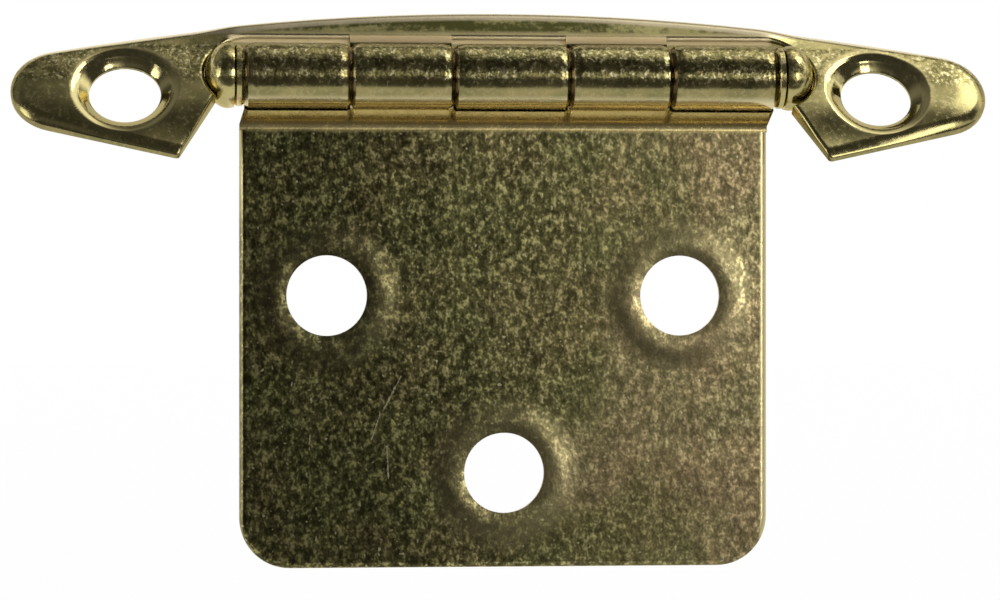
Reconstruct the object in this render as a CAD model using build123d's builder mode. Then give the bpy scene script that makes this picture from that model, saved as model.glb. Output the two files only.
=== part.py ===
"""Free-swinging cabinet hinge: a lens-shaped frame wing with two countersunk ears,
a door leaf that hangs from a five-knuckle barrel, and a pin with domed tips."""
import math
import os

from build123d import *

os.makedirs("parts", exist_ok=True)

# Sheet and pin (millimetres)
sheet = 1.1
pin_d = 2.4
pin_play = 0.04
bore_r = pin_d / 2 + pin_play
curl_r = bore_r + sheet / 2
barrel_r = bore_r + sheet

# Barrel, counted along the pin
barrel_len = 38.2
barrel_shift = 0.55
centre_knuckle = 8.3
wing_knuckle = 7.35
knuckle_gap = 0.04
knuckle_edge = 0.25
curl_gap = 0.15
neck_bend_r = 0.5
pivot_clear = 0.05

# Frame wing, drawn flat with its screw line as the X axis
wing_top = 7.58
wing_tip_r = 3.6
wing_tip_rise = 0.25
wing_rim_round = 0.77 * sheet
ear_hole_reach = 7.9
ear_tip_reach = 8.05
wing_hole_pitch = barrel_len + 2 * ear_hole_reach
wing_half_len = wing_hole_pitch / 2 + ear_tip_reach
wing_hole_d = 5.1
wing_sink_wide = 0.8
wing_sink_d = wing_hole_d + 2 * wing_sink_wide
wing_sink_angle = 95
wing_sink_lip = 0.4
pin_rise = 1.55
pocket_wide = 0.88
pocket_r = barrel_r + pocket_wide
pocket_clear = 0.03
ear_corner_reach = 4.0
ear_corner_x = barrel_len / 2 + ear_corner_reach
ear_corner_drop = 5.8
ear_peak_reach = 1.35
ear_peak_x = barrel_len / 2 + ear_peak_reach
ear_peak_drop = 0.55
cutout_shift = -0.15
cutout_edge_round = 0.3
wing_crest_in = 0.35
wing_crest = pocket_r - wing_crest_in
wing_lean = 37.5

# Door leaf, hanging straight down from the pin
leaf_inset = 0.12
leaf_shift = 0.07
leaf_width = barrel_len - 2 * leaf_inset
leaf_drop = 35.15
leaf_corner_r = 3.6
leaf_neck = 1.31
leaf_crest = barrel_r + leaf_neck
shoulder_rise = 0.15
leaf_shoulder = leaf_crest - shoulder_rise
leaf_edge_round = 0.45
leaf_hole_d = 5.75
leaf_hole_pitch = 25.4
leaf_hole_drop = 15.7
leaf_third_drop = leaf_hole_pitch / 2
leaf_sink_wide = 1.075
leaf_sink_d = leaf_hole_d + 2 * leaf_sink_wide
leaf_sink_angle = 110
swage_height = 0.09
swage_peak = 0.95
swage_wide = 2.6
swage_peak_r = leaf_hole_d / 2 + swage_peak
swage_end_r = leaf_hole_d / 2 + swage_wide

# Pin tips
tip_gap = 0.03
collar_len = 0.7
collar_inset = 0.14
collar_d = 2 * (barrel_r - collar_inset)
collar_edge = 0.18
groove_depth = 0.24
groove_d = collar_d - 2 * groove_depth
groove_len = 0.1
dome_proud = 0.01
dome_d = 2 * (barrel_r + dome_proud)
dome_len = 2.0
dome_belly = 0.32

# Places shared by the three pieces
end_knuckle = (barrel_len - centre_knuckle - 2 * wing_knuckle) / 2
wing_knuckle_mid = centre_knuckle / 2 + wing_knuckle / 2
end_knuckle_mid = barrel_len / 2 - (end_knuckle - knuckle_gap / 2) / 2
lean = math.radians(wing_lean)
wing_plane = Plane(origin=(0, 0, 0), x_dir=(1, 0, 0), z_dir=(0, -math.cos(lean), math.sin(lean)))
pin_y = pin_rise * math.sin(lean) - sheet / 2 * math.cos(lean)
pin_z = pin_rise * math.cos(lean) + sheet / 2 * math.sin(lean)
tip_len = tip_gap + collar_len + groove_len + dome_len
tip_x = wing_half_len - wing_tip_r
crown = wing_top - wing_tip_rise
wing_arc_r = (tip_x**2 + crown**2 - wing_tip_r**2) / (2 * (crown - wing_tip_r))


def neck_section(crest, reach):
    """Section of a sheet that runs in towards the pin and bends back at its crest to pass behind it.

    The pin is at the origin, +X points along the flat sheet and +Y to its front."""
    bend = math.asin(curl_r / crest)
    tangent = (neck_bend_r + sheet / 2) * math.tan(bend / 2)
    start = (crest + tangent, 0)
    neck = (crest - tangent * math.cos(bend), -tangent * math.sin(bend))
    touch = (curl_r * math.sin(bend), -curl_r * math.cos(bend))
    with BuildSketch() as section:
        with BuildLine():
            if reach > start[0] + 0.001:
                Line((reach, 0), start)
            TangentArc(start, neck, tangent=(-1, 0))
            Line(neck, touch)
        trace(line_width=sheet)
    return section.sketch


def rolled_knuckle(crest, width):
    """Knuckle that carries the neck on round the pin, with softened ends, in the frame of the neck."""
    wrap_start = math.degrees(math.asin(curl_r / crest)) - 90
    free_angle = math.degrees(math.acos((bore_r - curl_gap) / barrel_r))
    with BuildPart() as knuckle:
        with BuildSketch():
            with BuildLine():
                CenterArc((0, 0), curl_r, wrap_start, free_angle - 360)
            trace(line_width=sheet)
        extrude(amount=width / 2, both=True)
        ends = knuckle.edges().filter_by(GeomType.CIRCLE).group_by(SortBy.RADIUS)[-1]
        chamfer(ends, length=knuckle_edge)
    return knuckle.part


# Frame wing: the flat blank with its rounded rim, the cut-out and the countersunk screw holes
with BuildPart() as wing_blank:
    with BuildSketch():
        with BuildLine():
            arc_y = wing_top - wing_arc_r
            spread = wing_arc_r / (wing_arc_r - wing_tip_r)
            top_x = tip_x * spread
            top_y = arc_y + (wing_tip_rise - arc_y) * spread
            fall_x = tip_x - ear_corner_x
            fall_y = wing_tip_rise + ear_corner_drop
            edge_turn = math.atan2(fall_y, fall_x) - math.asin(wing_tip_r / math.hypot(fall_x, fall_y))
            low_x = tip_x + wing_tip_r * math.sin(edge_turn)
            low_y = wing_tip_rise - wing_tip_r * math.cos(edge_turn)
            ThreePointArc((-top_x, top_y), (0, wing_top), (top_x, top_y))
            ThreePointArc((top_x, top_y), (wing_half_len, wing_tip_rise), (low_x, low_y))
            Polyline(
                (low_x, low_y),
                (ear_corner_x - 2, -ear_corner_drop - 2 * math.tan(edge_turn)),
                (2 - ear_corner_x, -ear_corner_drop - 2 * math.tan(edge_turn)),
                (-low_x, low_y),
            )
            ThreePointArc((-low_x, low_y), (-wing_half_len, wing_tip_rise), (-top_x, top_y))
        make_face()
    extrude(amount=sheet)
    fillet(wing_blank.faces().sort_by(Axis.Z)[-1].edges(), radius=wing_rim_round)
    with BuildSketch() as cutout:
        with Locations((barrel_shift, pin_rise)):
            SlotCenterToCenter(barrel_len + 2 * (tip_len + pocket_clear - pocket_r), 2 * pocket_r)
        with BuildLine():
            ear_slope = (ear_corner_x - ear_peak_x) / (ear_corner_drop - ear_peak_drop)
            Polyline(
                (cutout_shift - ear_corner_x - 2 * ear_slope, -ear_corner_drop - 2),
                (cutout_shift - ear_peak_x, -ear_peak_drop),
                (cutout_shift + ear_peak_x, -ear_peak_drop),
                (cutout_shift + ear_corner_x + 2 * ear_slope, -ear_corner_drop - 2),
                close=True,
            )
        make_face()
    extrude(amount=sheet, mode=Mode.SUBTRACT)
    with Locations((-wing_hole_pitch / 2, 0, sheet), (wing_hole_pitch / 2, 0, sheet)):
        CounterSinkHole(wing_hole_d / 2, wing_sink_d / 2, counter_sink_angle=wing_sink_angle)
    circles = wing_blank.edges().filter_by(GeomType.CIRCLE)
    lips = circles.filter_by(lambda edge: abs(edge.radius - wing_sink_d / 2) < 0.01)
    fillet(lips, radius=wing_sink_lip)
    front_edges = wing_blank.edges().filter_by(lambda edge: abs(edge.center().Z - sheet) < 0.001)
    cutout_edges = front_edges.filter_by(lambda edge: abs(edge.center().X) < ear_corner_x)
    cutout_edges = cutout_edges.filter_by(lambda edge: edge.center().Y < pin_rise + pocket_r + 0.1)
    fillet(cutout_edges, radius=cutout_edge_round)

# Frame wing: the two knuckles curled from the strip above the cut-out, then the lean of the whole wing
with BuildPart() as wing_flat:
    add(wing_blank.part)
    for side in (-1, 1):
        knuckle_x = barrel_shift + side * wing_knuckle_mid
        tab_plane = Plane(origin=(knuckle_x, pin_rise, sheet / 2), x_dir=(0, 1, 0), z_dir=(1, 0, 0))
        with BuildSketch(tab_plane):
            add(neck_section(wing_crest, pocket_r + 0.9))
        extrude(amount=(wing_knuckle - knuckle_gap) / 2, both=True)
        with Locations(tab_plane.location):
            add(rolled_knuckle(wing_crest, wing_knuckle - knuckle_gap))

with BuildPart() as frame_wing:
    with Locations(wing_plane.location):
        add(wing_flat.part)

frame_wing.part.label = "frame_wing"
export_step(frame_wing.part, "parts/frame_wing.step")

# Low ring that the press raises round each screw hole of the leaf
with BuildPart() as swage:
    with BuildSketch(Plane.XZ):
        with BuildLine():
            rim = leaf_hole_d / 2 - 0.05
            Spline(
                (rim, 0),
                (swage_peak_r, swage_height),
                (swage_end_r, 0),
                tangents=((1, 0.2), (1, 0)),
            )
            Polyline((swage_end_r, 0), (swage_end_r, -sheet / 4), (rim, -sheet / 4), (rim, 0))
        make_face()
    revolve(axis=Axis.Z)

# Flat plate of the leaf below its crest, with the front edge softened by the shear
leaf_bend = math.asin(curl_r / leaf_crest)
plate_top = leaf_crest + (neck_bend_r + sheet / 2) * math.tan(leaf_bend / 2)
front_y = pin_y - sheet / 2
with BuildPart() as leaf_plate:
    with BuildSketch(Plane(origin=(0, front_y, pin_z), x_dir=(1, 0, 0), z_dir=(0, -1, 0))) as plate_outline:
        with Locations((leaf_shift, -leaf_drop)):
            Rectangle(leaf_width, leaf_drop - plate_top, align=(Align.CENTER, Align.MIN))
        fillet(plate_outline.vertices().group_by(Axis.Y)[0], radius=leaf_corner_r)
    extrude(amount=-sheet)
    front_rims = leaf_plate.faces().sort_by(Axis.Y)[0].edges().sort_by(Axis.Z)[:-1]
    fillet(front_rims, radius=leaf_edge_round)

# Door leaf: the bent neck carried along the pin and trimmed, then the plate, knuckles and screw holes
with BuildPart() as door_leaf:
    pin_plane = Plane(origin=(barrel_shift, pin_y, pin_z), x_dir=(0, 0, -1), z_dir=(-1, 0, 0))
    with BuildSketch(pin_plane):
        add(neck_section(leaf_crest, plate_top))
    extrude(amount=(leaf_width + barrel_len) / 2, both=True)
    with BuildSketch(Plane(origin=(0, pin_y, pin_z), x_dir=(1, 0, 0), z_dir=(0, -1, 0))):
        with BuildLine():
            Polyline(
                (barrel_shift - barrel_len / 2, barrel_r),
                (barrel_shift - barrel_len / 2, -barrel_r),
                (leaf_shift - leaf_width / 2, -leaf_shoulder),
                (leaf_shift - leaf_width / 2, -plate_top),
                (leaf_shift + leaf_width / 2, -plate_top),
                (leaf_shift + leaf_width / 2, -leaf_shoulder),
                (barrel_shift + barrel_len / 2, -barrel_r),
                (barrel_shift + barrel_len / 2, barrel_r),
                close=True,
            )
        make_face()
    extrude(amount=2 * barrel_r, both=True, mode=Mode.INTERSECT)
    add(leaf_plate.part)
    for side in (-1, 1):
        with Locations((barrel_shift + side * wing_knuckle_mid, pin_y, pin_z)):
            Cylinder(
                barrel_r + pivot_clear, wing_knuckle + knuckle_gap, rotation=(0, 90, 0), mode=Mode.SUBTRACT
            )
    with Locations(pin_plane.location):
        add(rolled_knuckle(leaf_crest, centre_knuckle - knuckle_gap))
        with Locations((0, 0, end_knuckle_mid), (0, 0, -end_knuckle_mid)):
            add(rolled_knuckle(leaf_crest, end_knuckle - knuckle_gap / 2))
    with Locations(Plane(origin=(0, front_y, pin_z), x_dir=(1, 0, 0), z_dir=(0, -1, 0)).location):
        with Locations(
            (-leaf_hole_pitch / 2, -leaf_hole_drop),
            (leaf_hole_pitch / 2, -leaf_hole_drop),
            (0, -leaf_hole_drop - leaf_third_drop),
        ):
            add(swage.part)
    with Locations(Plane(origin=(0, front_y + sheet, pin_z), x_dir=(1, 0, 0), z_dir=(0, 1, 0)).location):
        with Locations(
            (-leaf_hole_pitch / 2, leaf_hole_drop),
            (leaf_hole_pitch / 2, leaf_hole_drop),
            (0, leaf_hole_drop + leaf_third_drop),
        ):
            CounterSinkHole(leaf_hole_d / 2, leaf_sink_d / 2, counter_sink_angle=leaf_sink_angle)

door_leaf.part.label = "door_leaf"
export_step(door_leaf.part, "parts/door_leaf.step")

# Hinge pin: one turned piece with a collar, a groove and a dome at each end
with BuildPart() as hinge_pin:
    with BuildSketch(Plane(origin=(barrel_shift, pin_y, pin_z), x_dir=(1, 0, 0), z_dir=(0, -1, 0))) as half:
        with BuildLine():
            head = barrel_len / 2 + tip_gap
            groove = head + collar_len
            dome = groove + groove_len
            Polyline(
                (dome + dome_len, 0),
                (0, 0),
                (0, pin_d / 2),
                (head, pin_d / 2),
                (head, collar_d / 2),
                (groove, collar_d / 2),
                (groove, groove_d / 2),
                (dome, groove_d / 2),
            )
            belly = dome + dome_belly
            dome_depth = dome_len - dome_belly
            ball = EllipticalCenterArc((belly, 0), dome_depth, dome_d / 2, start_angle=0, arc_size=105)
            Line((dome, groove_d / 2), ball @ 1)
        make_face()
        mirror(about=Plane.YZ)
    revolve(axis=Axis((0, pin_y, pin_z), (1, 0, 0)))
    rounds = hinge_pin.edges().filter_by(GeomType.CIRCLE)
    collars = rounds.filter_by(lambda edge: abs(edge.radius - collar_d / 2) < 0.001)
    chamfer(collars, length=collar_edge)

hinge_pin.part.label = "hinge_pin"
export_step(hinge_pin.part, "parts/hinge_pin.step")

for piece in (frame_wing.part, door_leaf.part, hinge_pin.part):
    print(piece.label, round(piece.volume, 2), len(piece.solids()), piece.bounding_box())
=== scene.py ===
import math
from functools import reduce

import bpy
import numpy as np
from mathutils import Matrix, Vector


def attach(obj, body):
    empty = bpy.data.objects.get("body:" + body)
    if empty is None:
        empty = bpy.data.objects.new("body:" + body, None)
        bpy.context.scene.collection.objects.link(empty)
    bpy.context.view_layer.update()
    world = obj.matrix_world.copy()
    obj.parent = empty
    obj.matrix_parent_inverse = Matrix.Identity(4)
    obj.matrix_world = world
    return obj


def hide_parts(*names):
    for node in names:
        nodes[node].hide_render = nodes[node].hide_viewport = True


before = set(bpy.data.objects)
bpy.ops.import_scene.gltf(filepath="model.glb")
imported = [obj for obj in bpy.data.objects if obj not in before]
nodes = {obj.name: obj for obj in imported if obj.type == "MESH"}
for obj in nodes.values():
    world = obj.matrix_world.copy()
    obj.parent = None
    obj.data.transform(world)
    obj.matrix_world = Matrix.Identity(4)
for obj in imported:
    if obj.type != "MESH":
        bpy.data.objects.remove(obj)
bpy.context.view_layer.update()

# The part, in mm of the row frame: the pin runs along x, and the wing leans back
MM_IN_M = 1000.0
LEAN = math.radians(37.5)
WING_UP = np.array((0.0, math.sin(LEAN), math.cos(LEAN)))
WING_FRONT = np.array((0.0, -math.cos(LEAN), math.sin(LEAN)))
PIN_Y, PIN_Z = 0.507, 1.565
INNER_ENDS = (-11.01, -3.62, 4.72, 12.11)
ALL_ENDS = (-18.55, *INNER_ENDS, 19.65)
WING_TABS = (-7.315, 8.415)
LEAF_HOLES = ((-12.63, -14.135), (12.77, -14.135), (0.07, -26.835))
EAR_HOLE_X = 27.0
EAR_RIDGE_X, EAR_RIDGE_UP = (22.0, 31.4), 0.2
TOP_EDGE_RADIUS, TOP_EDGE_DROP = 134.4, 126.8

# Depths of the press forms, in mm
KNUCKLE_DRAW = 0.11
LIP_DIP = 0.2
CROWN_FALL = 0.4
SHOULDER_RISE = 0.05

# Longest edges that the pressed pieces keep, in mm
LIP_EDGE, EAR_EDGE, SHOULDER_EDGE, KNUCKLE_EDGE, ANY_EDGE = 0.28, 0.7, 0.55, 0.16, 1e9
MOST_CUTS = 10


def rgb(red, green, blue):
    return (red, green, blue, 1.0)


# Colours of the polished plate, the tones that darken it, and its painted highlights, reflections
# and shade
GLOSS_TINT = rgb(1.0, 0.9, 0.68)
POLISH_DARK, POLISH_LIGHT = rgb(0.215, 0.193, 0.08), rgb(0.325, 0.275, 0.115)
BARREL_FLECK = rgb(0.56, 0.5, 0.27)
# The pit tone is the barrel's own pitting; the top tone is painted shade on the barrel's top, under
# the wing
BARREL_PIT_TONE, BARREL_TOP_SHADE_TONE = rgb(0.4, 0.4, 0.36), rgb(0.3, 0.3, 0.28)
# Painted reflection of the barrel's underside on the neck below it, pale above and gold below
BEND_PALE_REFLECTION, BEND_GOLD_REFLECTION = rgb(0.66, 0.58, 0.34), rgb(0.74, 0.54, 0.2)
# Painted highlight along the leaf's crest
CREST_HIGHLIGHT = rgb(0.95, 0.78, 0.36)
# Painted shade in the gaps between the knuckles
SEAM_SHADE_COLOUR = rgb(0.07, 0.05, 0.02)
# Painted highlight along the wing's lower edge over the barrel, duller at the tabs
RIM_HIGHLIGHT, RIM_TAB_HIGHLIGHT = rgb(0.95, 0.8, 0.5), rgb(0.58, 0.46, 0.26)
STRIP_DARK, STRIP_LIGHT = rgb(0.06, 0.06, 0.019), rgb(0.25, 0.225, 0.098)
# Painted highlights along the foot and the head of the strip over the barrel
STRIP_FOOT_HIGHLIGHT, STRIP_HEAD_HIGHLIGHT = rgb(0.32, 0.265, 0.14), rgb(0.42, 0.36, 0.24)
# Painted highlight on the wing's top edge
TOP_EDGE_HIGHLIGHT = rgb(0.85, 0.78, 0.6)
COUNTERSINK = rgb(0.42, 0.36, 0.17)

# Colours of the leaf's dull face, from painted shade on the left to painted light on the right, and
# the tones of its stains and speckle
DULL_DARK, DULL_MIDDLE, DULL_LIT = (
    rgb(0.078, 0.074, 0.031), rgb(0.16, 0.147, 0.065), rgb(0.255, 0.21, 0.11)
)
STAIN_GREEN_TONE, STAIN_ROSE_TONE = rgb(0.96, 0.98, 0.88), rgb(1.06, 0.99, 0.94)
PATCH_TONE = rgb(0.6, 0.6, 0.62)
GRAIN_DARK_TONE, GRAIN_LIGHT_TONE = rgb(0.3, 0.29, 0.27), rgb(3.9, 3.9, 4.1)
SPECK_DARK_TONE = rgb(0.4, 0.38, 0.36)
BRIGHT_SPOT = rgb(0.46, 0.42, 0.25)
# Painted highlight round the leaf's holes
HOLE_HIGHLIGHT = rgb(0.27, 0.23, 0.115)
# Painted highlight along the leaf's side edges
SIDE_EDGE_HIGHLIGHT = rgb(0.52, 0.45, 0.24)
SCRATCH = rgb(0.55, 0.5, 0.32)

# Where painted light brightens the leaf: x, z, outer and inner radius, light outside and inside
LIT_SPOTS = (
    (14.8, -19.5, 12.0, 2.0, -5.0, 13.0),
    (4.6, -26.5, 5.5, 1.0, 0.0, 17.0),
)
# Scratches on the leaf: both ends in x and z, and the width
LEAF_SCRATCHES = (
    ((-7.4, -19.9), (-8.7, -22.4), 0.09),
    ((-8.9, -22.6), (-9.5, -24.4), 0.06),
    ((-8.4, -24.9), (-8.3, -27.2), 0.08),
    ((-13.9, -24.1), (-13.95, -25.1), 0.07),
    ((17.5, -23.0), (17.7, -23.6), 0.1),
)


class Graph:
    """Short ways to add and join the nodes of one material."""

    def __init__(self, name):
        self.material = bpy.data.materials.new(name)
        self.material.use_nodes = True
        self.tree = self.material.node_tree
        self.tree.nodes.clear()

    def add(self, kind, inputs=None, **settings):
        node = self.tree.nodes.new(kind)
        for key, value in settings.items():
            setattr(node, key, value)
        for key, value in (inputs or {}).items():
            if isinstance(value, bpy.types.NodeSocket):
                self.tree.links.new(value, node.inputs[key])
            else:
                node.inputs[key].default_value = value
        return node

    def math(self, operation, a, b=0.0, clamp=False):
        settings = {"operation": operation, "use_clamp": clamp}
        return self.add("ShaderNodeMath", {0: a, 1: b}, **settings).outputs[0]

    def chain(self, operation, values):
        return reduce(lambda a, b: self.math(operation, a, b), values)

    def times(self, *values):
        return self.chain("MULTIPLY", values)

    def plus(self, *values):
        return self.chain("ADD", values)

    def minus(self, a, b):
        return self.math("SUBTRACT", a, b)

    def least(self, *values):
        return self.chain("MINIMUM", values)

    def most(self, *values):
        return self.chain("MAXIMUM", values)

    def distance(self, *legs):
        return self.math("SQRT", self.plus(*[self.times(leg, leg) for leg in legs]))

    def vector(self, operation, a, b):
        return self.add("ShaderNodeVectorMath", {0: a, 1: b}, operation=operation).outputs["Vector"]

    def split(self, vector):
        return self.add("ShaderNodeSeparateXYZ", {0: vector}).outputs

    def ramp(self, value, low, high, out_low=0.0, out_high=1.0):
        inputs = {0: value, 1: low, 2: high, 3: out_low, 4: out_high}
        return self.add("ShaderNodeMapRange", inputs, interpolation_type="SMOOTHSTEP").outputs[0]

    def noise(self, vector, scale, detail, roughness):
        inputs = {"Vector": vector, "Scale": scale, "Detail": detail, "Roughness": roughness}
        return self.add("ShaderNodeTexNoise", inputs).outputs["Fac"]

    def mix(self, factor, a, b, blend="MIX"):
        """Between two colours, whose sockets on a Mix node are the 7th and 8th."""
        inputs = {0: factor, 6: a, 7: b}
        return self.add("ShaderNodeMix", inputs, data_type="RGBA", blend_type=blend).outputs[2]

    def mix_values(self, factor, a, b):
        """Between two numbers, whose sockets on a Mix node are the 3rd and 4th."""
        return self.add("ShaderNodeMix", {0: factor, 2: a, 3: b}).outputs[0]

    def toned(self, factor, colour, tone):
        """A colour taken by factor towards its product with a tone."""
        return self.mix(factor, colour, self.mix(1.0, colour, tone, "MULTIPLY"))

    def bump(self, height, **normal):
        """A normal tilted by a height in mm."""
        inputs = {"Strength": 1.0, "Distance": 1.0 / MM_IN_M, "Height": height, **normal}
        return self.add("ShaderNodeBump", inputs).outputs[0]

    def surface(self, shader):
        self.add("ShaderNodeOutputMaterial", {"Surface": shader.outputs[0]})
        return self.material


class Plating(Graph):
    """A brass plate's material, with the fields that place its marks, in mm."""

    def __init__(self, name):
        super().__init__(name)
        coords = self.add("ShaderNodeTexCoord").outputs
        self.mm = self.vector("MULTIPLY", coords["Object"], (MM_IN_M, MM_IN_M, MM_IN_M))
        self.x, self.y, self.z = self.split(self.mm)
        self.side = self.math("ABSOLUTE", self.x)
        self.patch = self.noise(self.mm, 0.45, 4, 0.6)
        self.grain = self.noise(self.stretched(1.0, 1.0, 0.82), 1.6, 2, 0.85)
        self.speck = self.noise(self.stretched(1.0, 1.0, 0.9), 3.6, 1, 0.5)
        self.from_pin = self.distance(self.minus(self.y, PIN_Y), self.minus(self.z, PIN_Z))
        self.barrel = self.times(self.ramp(self.from_pin, 2.9, 2.5), self.ramp(self.z, 0.8, 1.5))
        middle = self.ramp(self.side, 19.9, 19.4)
        front = self.ramp(self.split(coords["Normal"])[1], 0.35, 0.0)
        # Front of the neck below the barrel, where a reflection is painted
        self.bend = self.times(self.band(-2.5, -2.0, -0.4, 0.2), middle, front)
        # Band along the wing's lower edge over the barrel, where a highlight is painted
        self.rim_highlight = self.times(self.band(4.0, 4.12, 4.5, 4.65), middle)

    def stretched(self, *scales):
        return self.vector("MULTIPLY", self.mm, scales)

    def shifted(self, *moves):
        return self.vector("ADD", self.mm, moves)

    def band(self, low, full_low, full_high, high):
        """1 at the heights from full_low to full_high, and 0 below low and above high."""
        return self.times(self.ramp(self.z, low, full_low), self.ramp(self.z, high, full_high))

    def from_nearest(self, places):
        """Distance along the pin from the nearest of some places on it."""
        return self.least(*[self.math("ABSOLUTE", self.minus(self.x, place)) for place in places])

    def from_point(self, x, z):
        """Distance from a point, seen from the front."""
        return self.distance(self.minus(self.x, x), self.minus(self.z, z))


def polished_colour(g, painted_light_gain, seam_shading):
    """Bright plate, pitted on the barrel, lifted by a painted light gain, with a painted reflection
    on the neck below the barrel, a painted highlight above it, and painted shade on its top and in
    the knuckle gaps.
    """
    colour = g.mix(g.ramp(g.patch, 0.3, 0.7), POLISH_DARK, POLISH_LIGHT)
    # The painted light gain lightens the whole plate
    colour = g.mix(1.0, colour, rgb(painted_light_gain, painted_light_gain, painted_light_gain), "MULTIPLY")
    fleck = g.times(g.ramp(g.speck, 0.52, 0.66), g.ramp(g.barrel, 0.0, 1.0, 0.2, 0.95))
    colour = g.mix(fleck, colour, BARREL_FLECK)
    pitted = g.times(g.barrel, g.ramp(g.grain, 0.42, 0.56, 0.85, 0.0))
    colour = g.toned(pitted, colour, BARREL_PIT_TONE)
    # Painted reflection of the barrel's underside on the neck, pale above and gold below
    colour = g.mix(g.bend, colour, g.mix(g.ramp(g.z, -1.0, -1.6), BEND_PALE_REFLECTION, BEND_GOLD_REFLECTION))
    # Painted shade on the barrel's top, under the wing
    barrel_top_shade = g.times(g.ramp(g.z, 3.5, 3.75, 0.0, 0.6), g.ramp(g.from_pin, 2.6, 2.45))
    colour = g.toned(barrel_top_shade, colour, BARREL_TOP_SHADE_TONE)
    if seam_shading:
        # Painted shade in the knuckle gaps
        seam_shade = g.times(g.ramp(g.from_nearest(ALL_ENDS), 0.3, 0.16), g.ramp(g.from_pin, 2.9, 2.6))
        colour = g.mix(g.times(seam_shade, g.ramp(g.z, -0.6, 0.0)), colour, SEAM_SHADE_COLOUR)
    # Painted highlight above the barrel, duller at the wing's tabs
    tab = g.ramp(g.from_nearest(WING_TABS), 3.75, 3.6)
    return g.mix(g.rim_highlight, colour, g.mix(tab, RIM_HIGHLIGHT, RIM_TAB_HIGHLIGHT))


def wing_face(g, colour, rough, fine):
    """Adds a mottled strip over the barrel with painted highlights along its foot and head, a
    painted highlight on the top edge, and smooth, bright countersinks.
    """
    up = g.plus(g.times(g.y, math.sin(LEAN)), g.times(g.z, math.cos(LEAN)))
    deep = g.minus(g.times(g.z, math.sin(LEAN)), g.times(g.y, math.cos(LEAN)))
    off_back = g.ramp(deep, 0.02, 0.12)
    below_edge = g.minus(TOP_EDGE_RADIUS, g.distance(g.x, g.plus(up, TOP_EDGE_DROP)))

    streak = g.noise(g.stretched(0.18, 1.0, 1.0), 0.9, 3, 0.6)
    mottle = g.plus(g.times(streak, 0.6), g.times(g.grain, 0.4))
    shade = g.mix(g.ramp(mottle, 0.42, 0.6), STRIP_DARK, STRIP_LIGHT)
    ragged_z = g.plus(g.z, g.times(g.minus(mottle, 0.5), 0.8))
    # Painted highlight along the foot of the strip
    shade = g.mix(g.ramp(ragged_z, 5.0, 4.75, 0.0, 0.8), shade, STRIP_FOOT_HIGHLIGHT)
    # Painted highlight along the head of the strip
    shade = g.mix(g.ramp(below_edge, 1.25, 0.95, 0.0, 0.85), shade, STRIP_HEAD_HIGHLIGHT)
    strip = g.times(g.ramp(g.z, 4.55, 4.7), g.ramp(g.side, 26.0, 19.0))
    colour = g.mix(strip, colour, shade)
    # Painted highlight on the wing's top edge, on the front only
    colour = g.mix(g.times(g.ramp(below_edge, 0.6, 0.25), off_back), colour, TOP_EDGE_HIGHLIGHT)

    from_hole = g.distance(g.minus(g.side, EAR_HOLE_X), up)
    sunk = g.times(g.ramp(from_hole, 4.4, 3.8), off_back)
    colour = g.mix(g.times(sunk, 0.7), colour, COUNTERSINK)
    rough = g.times(rough, g.minus(1.0, g.times(sunk, 0.55)))
    fine = g.times(fine, g.minus(1.0, g.times(sunk, 0.9)))
    return colour, rough, fine


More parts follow.
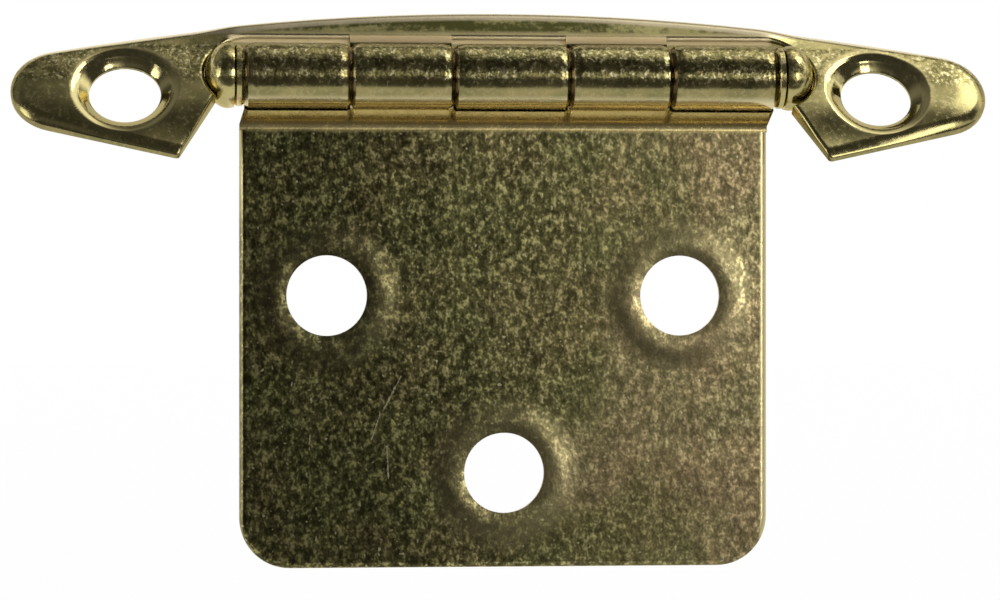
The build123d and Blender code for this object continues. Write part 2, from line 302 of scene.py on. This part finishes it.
def dull_colour(g):
    """The leaf's dull plate: painted shade to the left and painted light to the right and in spots,
    stained, speckled, with painted highlights round its holes and along its side edges.
    """
    cloud = g.noise(g.mm, 0.11, 3, 0.55)
    # Painted light rising to the right, broken by a cloud of tarnish, with lit spots added below
    sheen_and_tarnish = g.plus(g.x, g.times(g.minus(cloud, 0.5), 26.0))
    for x, z, outer, inner, light_outside, light_inside in LIT_SPOTS:
        lit_spot = g.ramp(g.from_point(x, z), outer, inner, light_outside, light_inside)
        sheen_and_tarnish = g.plus(sheen_and_tarnish, lit_spot)
    # From dark on the left to lit on the right, as painted shade and painted light
    colour = g.mix(g.ramp(sheen_and_tarnish, -17.0, 3.0), DULL_DARK, DULL_MIDDLE)
    colour = g.mix(g.ramp(sheen_and_tarnish, 2.0, 17.0), colour, DULL_LIT)

    stain = g.noise(g.shifted(31.0, 7.0, 12.0), 0.16, 2, 0.5)
    stain_tone = g.mix(g.ramp(stain, 0.38, 0.62), STAIN_GREEN_TONE, STAIN_ROSE_TONE)
    colour = g.mix(1.0, colour, stain_tone, "MULTIPLY")
    colour = g.toned(g.ramp(g.patch, 0.35, 0.65, 0.7, 0.0), colour, PATCH_TONE)
    dark = g.times(g.ramp(g.grain, 0.36, 0.51, 0.9, 0.0), g.ramp(sheen_and_tarnish, -13.0, 10.0, 1.0, 0.6))
    colour = g.toned(dark, colour, GRAIN_DARK_TONE)
    light = g.times(g.ramp(g.grain, 0.48, 0.63), g.ramp(sheen_and_tarnish, -13.0, 10.0, 1.1, 0.42))
    light = g.times(light, g.ramp(g.speck, 0.36, 0.6, 0.15, 1.0))
    colour = g.toned(light, colour, GRAIN_LIGHT_TONE)
    colour = g.toned(g.ramp(g.speck, 0.3, 0.46, 0.4, 0.0), colour, SPECK_DARK_TONE)
    spot = g.noise(g.shifted(5.0, 17.0, 40.0), 2.9, 0, 0.5)
    colour = g.mix(g.ramp(spot, 0.75, 0.85, 0.0, 0.9), colour, BRIGHT_SPOT)

    from_hole = g.least(*[g.from_point(*hole) for hole in LEAF_HOLES])
    # Painted highlight round the holes, stronger where the leaf is lit
    hole_highlight = g.times(g.ramp(from_hole, 6.2, 4.2), g.ramp(sheen_and_tarnish, -22.0, 0.0, 0.1, 0.35))
    colour = g.mix(hole_highlight, colour, HOLE_HIGHLIGHT)
    # Painted highlights along the side edges, fading down the left one
    left = g.times(g.ramp(g.x, -18.62, -18.72), g.ramp(g.z, -11.0, -5.0, 0.35, 1.0))
    return g.mix(g.most(g.ramp(g.x, 18.45, 18.65), left), colour, SIDE_EDGE_HIGHLIGHT)


def leaf_face(g, colour, rough, fine):
    """Puts dull plate below the leaf's crest, with a painted gold highlight along the crest, and
    scratches.
    """
    dulled = g.ramp(g.plus(g.z, g.times(g.patch, 0.4)), -2.0, -2.4)
    # Painted highlight along the crest
    colour = g.mix(g.band(-2.32, -2.22, -2.0, -1.85), colour, CREST_HIGHLIGHT)
    colour = g.mix(dulled, colour, dull_colour(g))
    rough_dull = g.plus(
        g.ramp(g.grain, 0.35, 0.65, 0.36, 0.28), g.ramp(g.speck, 0.3, 0.6, 0.05, 0.0)
    )
    rough = g.mix_values(dulled, rough, rough_dull)
    fine = g.mix_values(dulled, fine, g.times(g.grain, 0.022))
    for (x0, z0), (x1, z1), width in LEAF_SCRATCHES:
        along = Vector((x1 - x0, z1 - z0))
        dx, dz = g.minus(g.x, x0), g.minus(g.z, z0)
        run = g.plus(g.times(dx, along.x), g.times(dz, along.y))
        t = g.math("DIVIDE", run, along.length_squared, clamp=True)
        off = g.distance(g.minus(dx, g.times(t, along.x)), g.minus(dz, g.times(t, along.y)))
        off = g.plus(off, g.times(g.minus(g.speck, 0.5), width * 2.5))
        colour = g.mix(g.ramp(off, width, 0.0, 0.0, 0.75), colour, SCRATCH)
    return colour, rough, fine


def brass(name, peel, painted_light_gain=1.0, seam_shading=True, face=None):
    """Polished plate with an orange peel of a height in mm, and the marks that face adds to it."""
    g = Plating(name)
    colour = polished_colour(g, painted_light_gain, seam_shading)
    rough = g.plus(
        g.ramp(g.patch, 0.25, 0.75, 0.16, 0.25),
        g.ramp(g.speck, 0.55, 0.75, 0.0, 0.1),
        g.times(g.rim_highlight, 0.35),
    )
    fine = g.times(g.grain, g.plus(peel, g.times(g.barrel, 0.03)))
    if face:
        colour, rough, fine = face(g, colour, rough, fine)
    wavy = g.bump(g.times(g.noise(g.mm, 0.22, 1, 0.4), 0.06))
    shader = g.add("ShaderNodeBsdfPrincipled", {
        "Base Color": colour,
        "Metallic": 1.0,
        "Roughness": rough,
        "Normal": g.bump(fine, Normal=wavy),
        "Specular Tint": GLOSS_TINT,
    })
    return g.surface(shader)


def dress(node, material):
    mesh = nodes[node].data
    mesh.materials.clear()
    mesh.materials.append(material)


def smooth(value, low, high):
    t = np.clip((value - low) / (high - low), 0.0, 1.0)
    return t * t * (3.0 - 2.0 * t)


def from_pin_axis(p):
    return np.hypot(p[:, 1] - PIN_Y, p[:, 2] - PIN_Z)


def from_ends(p, ends):
    """Distance along the pin from the nearest of some knuckle ends."""
    return np.min([np.abs(p[:, 0] - end) for end in ends], axis=0)


def from_leaf_holes(p):
    """Distance from the middle of the nearest of the leaf's holes, seen from the front."""
    return np.min([np.hypot(p[:, 0] - x, p[:, 2] - z) for x, z in LEAF_HOLES], axis=0)


def ear_places(p):
    """Distances to the side, up the wing, in front of its back, and from an ear's hole."""
    side, up, deep = np.abs(p[:, 0]), p @ WING_UP, p @ WING_FRONT
    return side, up, deep, np.hypot(side - EAR_HOLE_X, up)


def soften_ends(p, ends):
    """Moves, in mm, that draw the rims of the knuckles in towards the pin."""
    from_pin = from_pin_axis(p)
    drawn = -KNUCKLE_DRAW * (1 - smooth(from_ends(p, ends), 0.25, 0.8)) * smooth(from_pin, 1.9, 2.3)
    drawn = drawn * (1 - smooth(from_pin, 2.75, 3.0)) * smooth(p[:, 2], -0.2, 0.4)
    outward = np.stack([np.zeros(len(p)), p[:, 1] - PIN_Y, p[:, 2] - PIN_Z], axis=1)
    return drawn[:, None] * outward / np.maximum(from_pin, 0.1)[:, None]


def wing_moves(p):
    """Moves of the wing: crowned ears that dip into their countersinks, and softened knuckles."""
    side, up, deep, from_hole = ear_places(p)
    from_ridge = np.hypot(side - np.clip(side, *EAR_RIDGE_X), up - EAR_RIDGE_UP)
    lip = -LIP_DIP * (1 - smooth(from_hole, 3.25, 3.9)) * smooth(deep, 0.0, 0.4)
    crown = -CROWN_FALL * smooth(from_ridge, 1.2, 5.0) * smooth(deep, 0.15, 1.1)
    press = (lip + crown) * smooth(side, 19.0, 22.5)
    return press[:, None] * WING_FRONT + soften_ends(p, INNER_ENDS)


def leaf_moves(p):
    """Moves of the leaf: low shoulders round its holes, and softened knuckles."""
    in_front = 1 - smooth(p[:, 1], 0.05, 0.9)
    rise = SHOULDER_RISE * (1 - smooth(from_leaf_holes(p), 3.7, 5.1)) * in_front
    return rise[:, None] * np.array((0.0, -1.0, 0.0)) + soften_ends(p, ALL_ENDS)


def knuckle_longest(p):
    """The longest edge, in mm, that a point near the barrel may keep."""
    from_pin = from_pin_axis(p)
    sheet = (from_pin > 1.9) & (from_pin < 2.95) & (p[:, 2] > -0.3)
    return np.where((from_ends(p, ALL_ENDS) < 0.85) & sheet, KNUCKLE_EDGE, ANY_EDGE)


def wing_longest(p):
    """The longest edge, in mm, that a point of the wing may keep."""
    side, _, deep, from_hole = ear_places(p)
    ear = (side > 18.8) & (deep > 0.1)
    return np.where(ear, np.where(from_hole < 4.2, LIP_EDGE, EAR_EDGE), knuckle_longest(p))


def leaf_longest(p):
    """The longest edge, in mm, that a point of the leaf may keep."""
    shoulder = (from_leaf_holes(p) < 5.4) & (p[:, 1] < 0.9)
    return np.where(shoulder, SHOULDER_EDGE, knuckle_longest(p))


def pieces_of(chosen, *triangles):
    return [np.stack(triangle, axis=1)[chosen] for triangle in triangles]


def refine(corners, normals, longest):
    """Halves each edge longer than longest allows until none is, alike on both faces of an edge."""
    both = np.concatenate([corners, normals], axis=2)
    for _ in range(MOST_CUTS):
        points = both[:, :, :3]
        limit = longest(points.reshape(-1, 3)).reshape(-1, 3)
        length = np.linalg.norm(points - np.roll(points, -1, axis=1), axis=2)
        cut = length > np.minimum(limit, np.roll(limit, -1, axis=1))
        count = cut.sum(axis=1)
        if not count.any():
            break
        middle = (both + np.roll(both, -1, axis=1)) / 2
        parts = [both[count == 0]]
        for turn in range(3):
            a, b, c = np.roll(both, -turn, axis=1).transpose(1, 0, 2)
            ab, bc = np.roll(middle, -turn, axis=1).transpose(1, 0, 2)[:2]
            first, second = np.roll(cut, -turn, axis=1).T[:2]
            parts += pieces_of((count == 1) & first, (a, ab, c), (ab, b, c))
            two = (count == 2) & first & second
            parts += pieces_of(two, (ab, b, bc), (a, ab, bc), (a, bc, c))
        a, b, c = both.transpose(1, 0, 2)
        ab, bc, ca = middle.transpose(1, 0, 2)
        parts += pieces_of(count == 3, (a, ab, ca), (ab, b, bc), (ca, bc, c), (ab, bc, ca))
        both = np.concatenate(parts)
    return both[:, :, :3], both[:, :, 3:]


def pressed_copy(node, name, body, moves, longest):
    """A copy of a CAD node, cut finer where longest asks for it and shaped by moves, in mm."""
    source = nodes[node].data
    points = np.array([vert.co for vert in source.vertices]) * MM_IN_M
    corners = points[[loop.vertex_index for loop in source.loops]].reshape(-1, 3, 3)
    normals = np.array([normal.vector for normal in source.corner_normals]).reshape(-1, 3, 3)
    corners, normals = (part.reshape(-1, 3) for part in refine(corners, normals, longest))

    # Normals follow the moves by the inverse transpose of their gradient, from small steps
    stretch = np.tile(np.eye(3), (len(corners), 1, 1))
    step = 1e-3
    for axis, probe in enumerate(np.eye(3) * step):
        stretch[:, :, axis] += (moves(corners + probe) - moves(corners - probe)) / (2 * step)
    normals = np.einsum("nji,nj->ni", np.linalg.inv(stretch), normals)
    normals /= np.linalg.norm(normals, axis=1)[:, None]
    places, index = np.unique(np.round(corners + moves(corners), 9), axis=0, return_inverse=True)

    mesh = bpy.data.meshes.new(name)
    mesh.from_pydata((places / MM_IN_M).tolist(), [], index.reshape(-1, 3).tolist())
    mesh.polygons.foreach_set("use_smooth", [True] * len(mesh.polygons))
    mesh.normals_split_custom_set(normals.tolist())
    mesh.materials.append(source.materials[0])
    piece = bpy.data.objects.new(name, mesh)
    bpy.context.scene.collection.objects.link(piece)
    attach(piece, body)
    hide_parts(node)
    return piece


dress("frame_wing", brass("wing_brass", 0.005, face=wing_face))
# The pin's plate is lightened 1.7 times, as painted light on the finials
dress("hinge_pin", brass("pin_brass", 0.008, painted_light_gain=1.7, seam_shading=False))
dress("door_leaf", brass("leaf_brass", 0.012, face=leaf_face))
wing = pressed_copy("frame_wing", "pressed_wing", "frame", wing_moves, wing_longest)
leaf = pressed_copy("door_leaf", "pressed_leaf", "leaf", leaf_moves, leaf_longest)


# The studio, in metres: floor, a card in front for the metal to reflect, world and lamps
WHITE = rgb(1, 1, 1)
PAPER = rgb(0.93, 0.93, 0.92)
WARM_WHITE = rgb(1, 0.99, 0.96)
FLOOR_Z, FLOOR_REACH = -0.06, 2.0
CARD_Z, CARD_NEAR, CARD_TURN = FLOOR_Z + 0.002, -0.066, -0.3
CARD_RADIUS, CARD_REACH = 0.57, 1.6
CARD_ANGLES = range(-6, 125, 5)


def strip_mesh(name, half_width, line):
    """A sheet along x, swept through the y and z of each point of a line."""
    points = [(x, y, z) for y, z in line for x in (-half_width, half_width)]
    faces = [(i, i + 1, i + 3, i + 2) for i in range(0, len(points) - 2, 2)]
    mesh = bpy.data.meshes.new(name)
    mesh.from_pydata(points, [], faces)
    obj = bpy.data.objects.new(name, mesh)
    bpy.context.scene.collection.objects.link(obj)
    return obj


def floor_paper():
    """Paper that takes shadows, and shows nearly white to the camera and in reflections."""
    g = Graph("pale_floor")
    rays = g.add("ShaderNodeLightPath").outputs
    seen = g.most(rays["Is Camera Ray"], rays["Is Glossy Ray"], rays["Is Transmission Ray"])
    paper = g.add("ShaderNodeBsdfDiffuse", {"Color": PAPER}).outputs[0]
    white = g.add("ShaderNodeEmission", {"Color": WHITE, "Strength": 1.0}).outputs[0]
    return g.surface(g.add("ShaderNodeMixShader", {0: g.times(seen, 0.95), 1: paper, 2: white}))


def card_light():
    """A grey card with two lit bands, low and overhead, both brighter to the right."""
    g = Graph("grey_card")
    x, y, z = g.split(g.add("ShaderNodeTexCoord").outputs["Object"])
    rise = g.math("DEGREES", g.math("ARCTAN2", z, g.times(y, -1.0)))
    low = g.times(g.ramp(rise, -10.0, 2.0), g.ramp(rise, 20.0, 6.0))
    low = g.times(low, g.ramp(x, -0.06, 0.2, 0.12, 1.5))
    top = g.times(g.ramp(rise, 56.0, 94.0), g.ramp(rise, 122.0, 100.0))
    top = g.times(top, g.ramp(x, -0.08, 0.16, 0.24, 2.1))
    level = g.plus(low, top, 0.09)
    return g.surface(g.add("ShaderNodeEmission", {"Color": WARM_WHITE, "Strength": level}))


def softbox(name, location, width, height, radiance):
    """A soft rectangular lamp that faces the origin."""
    lamp = bpy.data.lights.new(name, "AREA")
    lamp.shape = "RECTANGLE"
    lamp.size = width
    lamp.size_y = height
    lamp.energy = radiance * math.pi * width * height
    obj = bpy.data.objects.new(name, lamp)
    obj.location = location
    obj.rotation_euler = (-Vector(location)).to_track_quat("-Z", "Y").to_euler()
    obj.visible_camera = False
    bpy.context.scene.collection.objects.link(obj)


floor = strip_mesh("floor", FLOOR_REACH, [(-FLOOR_REACH, FLOOR_Z), (FLOOR_REACH, FLOOR_Z)])
floor.data.materials.append(floor_paper())

card_line = [(CARD_NEAR, CARD_Z), (CARD_TURN, CARD_Z)]
for angle in map(math.radians, CARD_ANGLES):
    card_line.append((-CARD_RADIUS * math.cos(angle), CARD_RADIUS * math.sin(angle)))
card = strip_mesh("front_card", CARD_REACH, card_line)
card.visible_camera = False
card.data.materials.append(card_light())

world = bpy.data.worlds.new("studio")
bpy.context.scene.world = world
world.use_nodes = True
background = world.node_tree.nodes["Background"].inputs
background["Color"].default_value = WHITE
background["Strength"].default_value = 1.0

softbox("overhead_lamp", (0.32, -0.12, 0.48), 0.2, 0.26, 4.0)
softbox("right_lamp", (0.235, -0.44, 0.03), 0.14, 0.2, 5.0)
softbox("left_lamp", (-0.46, -0.2, 0.05), 0.16, 0.22, 4.0)

# Camera, as fitted to the outline in a frame of 1000 by 600
yaw, pitch, reach = math.radians(5.469), math.radians(0.151), 0.2516
target = Vector((-0.00024, 0.0005, -0.014452))
forward = Vector((
    math.sin(yaw) * math.cos(pitch), math.cos(yaw) * math.cos(pitch), -math.sin(pitch)
))
view = bpy.data.cameras.new("photo_camera")
view.sensor_width = 36.0
view.lens = 126.2
view.clip_start = 0.01
camera = bpy.data.objects.new("photo_camera", view)
camera.location = target - reach * forward
camera.rotation_euler = forward.to_track_quat("-Z", "Y").to_euler()
bpy.context.scene.collection.objects.link(camera)
bpy.context.scene.camera = camera
bpy.context.scene.view_settings.view_transform = "Standard"
